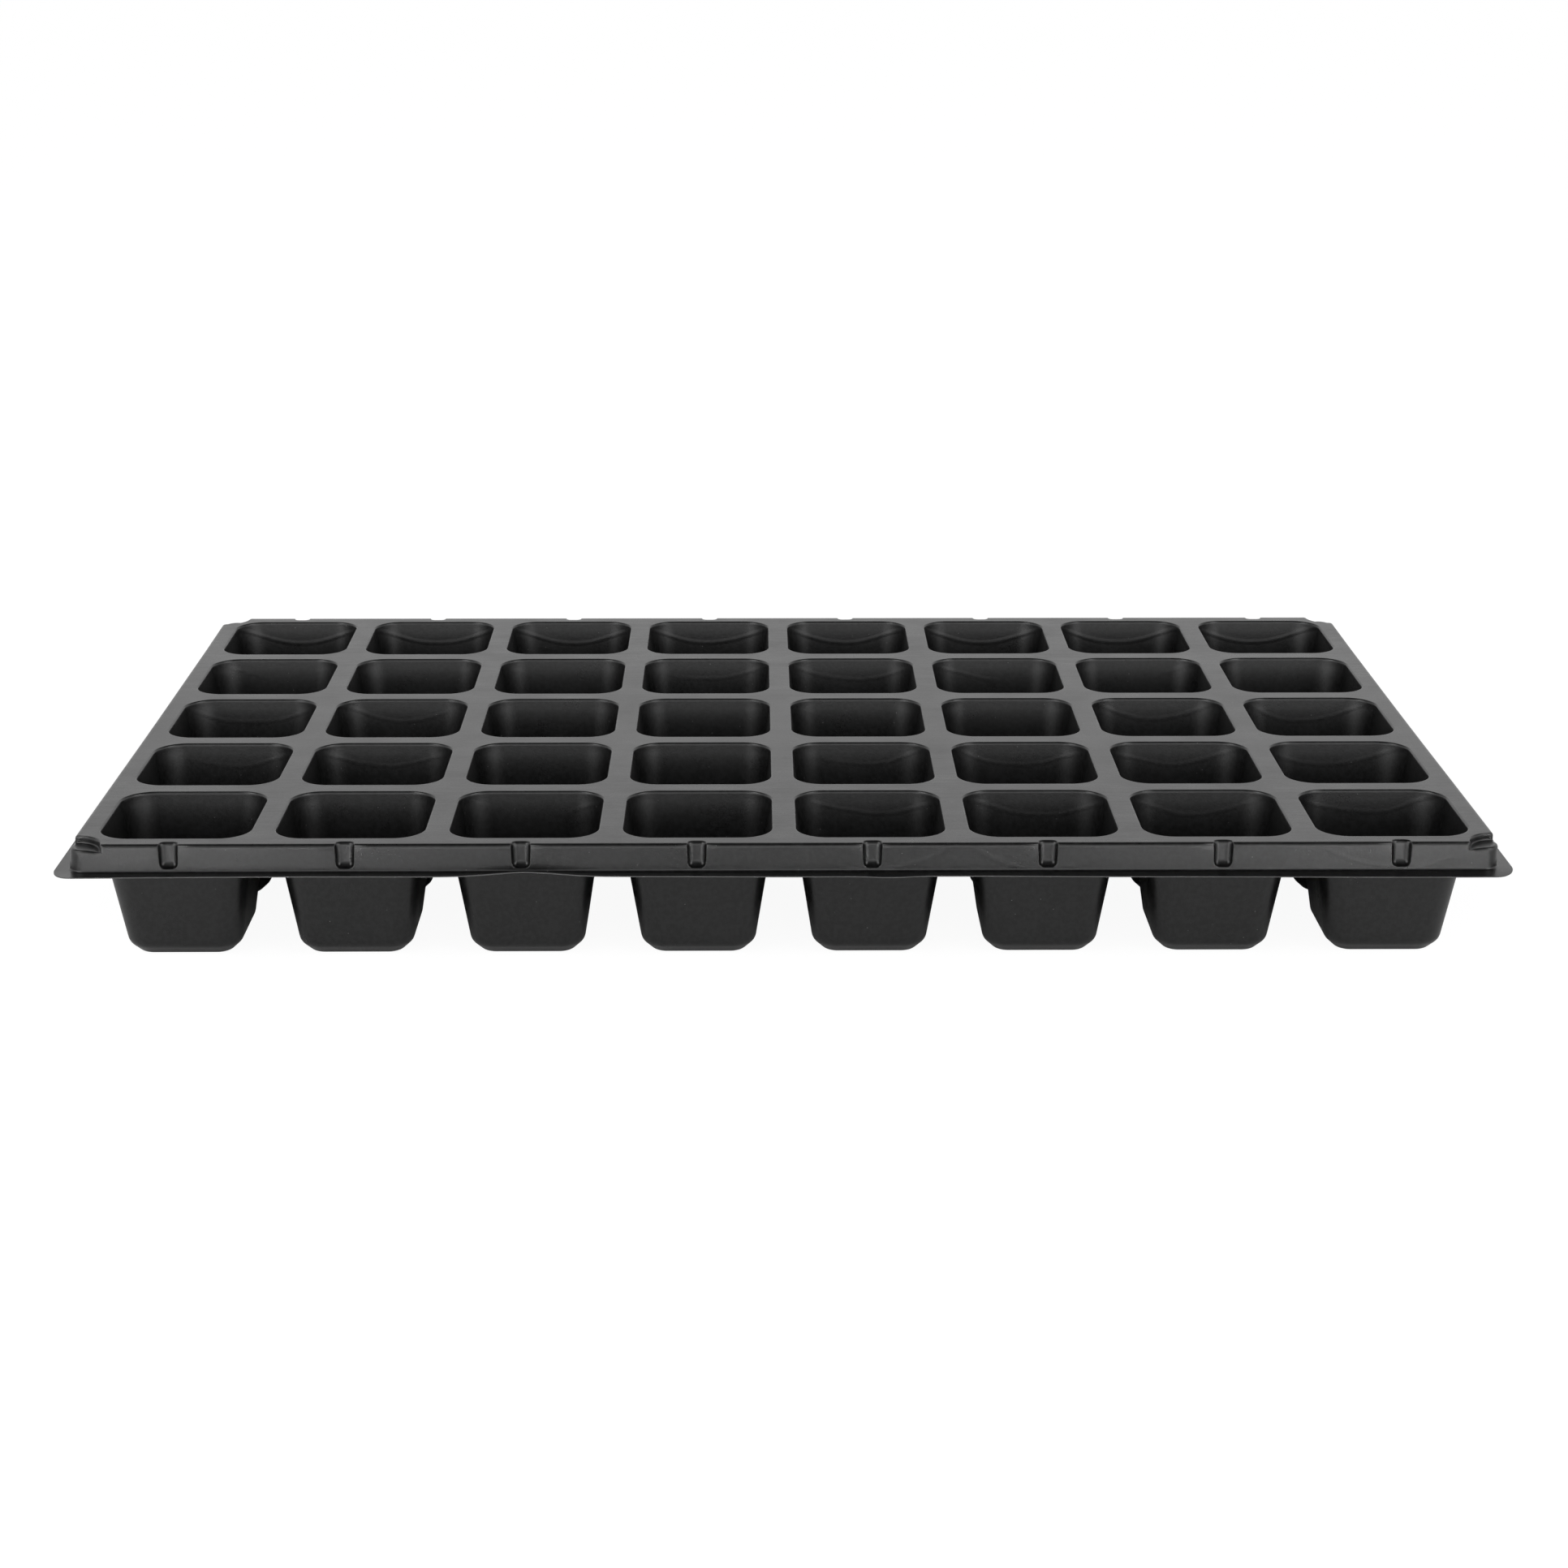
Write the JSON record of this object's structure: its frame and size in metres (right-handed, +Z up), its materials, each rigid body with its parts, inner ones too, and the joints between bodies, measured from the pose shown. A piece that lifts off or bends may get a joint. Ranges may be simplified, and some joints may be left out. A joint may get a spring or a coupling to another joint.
{
  "type": "sprouting tray",
  "caption": "Rectangular black plastic sprouting tray: a grid of tapered square cells with drain holes, a flat deck, a fluted skirt with a flange, and stacking pockets at the corners.",
  "frame": {"origin": "under the middle of the tray, on the surface that the cells stand on", "axes": "+X along the long side, +Y towards the back, +Z up"},
  "size_m": [0.5, 0.32, 0.046],
  "materials": {
    "black_plastic": "satin black, fine extrusion lines on the deck"
  },
  "bodies": {
    "root": {"cell_r1_c1": "black_plastic", "cell_r1_c2": "black_plastic", "cell_r1_c3": "black_plastic", "cell_r1_c4": "black_plastic", "cell_r1_c5": "black_plastic", "cell_r1_c6": "black_plastic", "cell_r1_c7": "black_plastic", "cell_r1_c8": "black_plastic", "cell_r2_c1": "black_plastic", "cell_r2_c2": "black_plastic", "cell_r2_c3": "black_plastic", "cell_r2_c4": "black_plastic", "cell_r2_c5": "black_plastic", "cell_r2_c6": "black_plastic", "cell_r2_c7": "black_plastic", "cell_r2_c8": "black_plastic", "cell_r3_c1": "black_plastic", "cell_r3_c2": "black_plastic", "cell_r3_c3": "black_plastic", "cell_r3_c4": "black_plastic", "cell_r3_c5": "black_plastic", "cell_r3_c6": "black_plastic", "cell_r3_c7": "black_plastic", "cell_r3_c8": "black_plastic", "cell_r4_c1": "black_plastic", "cell_r4_c2": "black_plastic", "cell_r4_c3": "black_plastic", "cell_r4_c4": "black_plastic", "cell_r4_c5": "black_plastic", "cell_r4_c6": "black_plastic", "cell_r4_c7": "black_plastic", "cell_r4_c8": "black_plastic", "cell_r5_c1": "black_plastic", "cell_r5_c2": "black_plastic", "cell_r5_c3": "black_plastic", "cell_r5_c4": "black_plastic", "cell_r5_c5": "black_plastic", "cell_r5_c6": "black_plastic", "cell_r5_c7": "black_plastic", "cell_r5_c8": "black_plastic", "rim_front": "black_plastic", "rim_right": "black_plastic", "rim_back": "black_plastic", "rim_left": "black_plastic", "corner_front_right": "black_plastic", "corner_back_right": "black_plastic", "corner_back_left": "black_plastic", "corner_front_left": "black_plastic"}
  },
  "joints": []
}
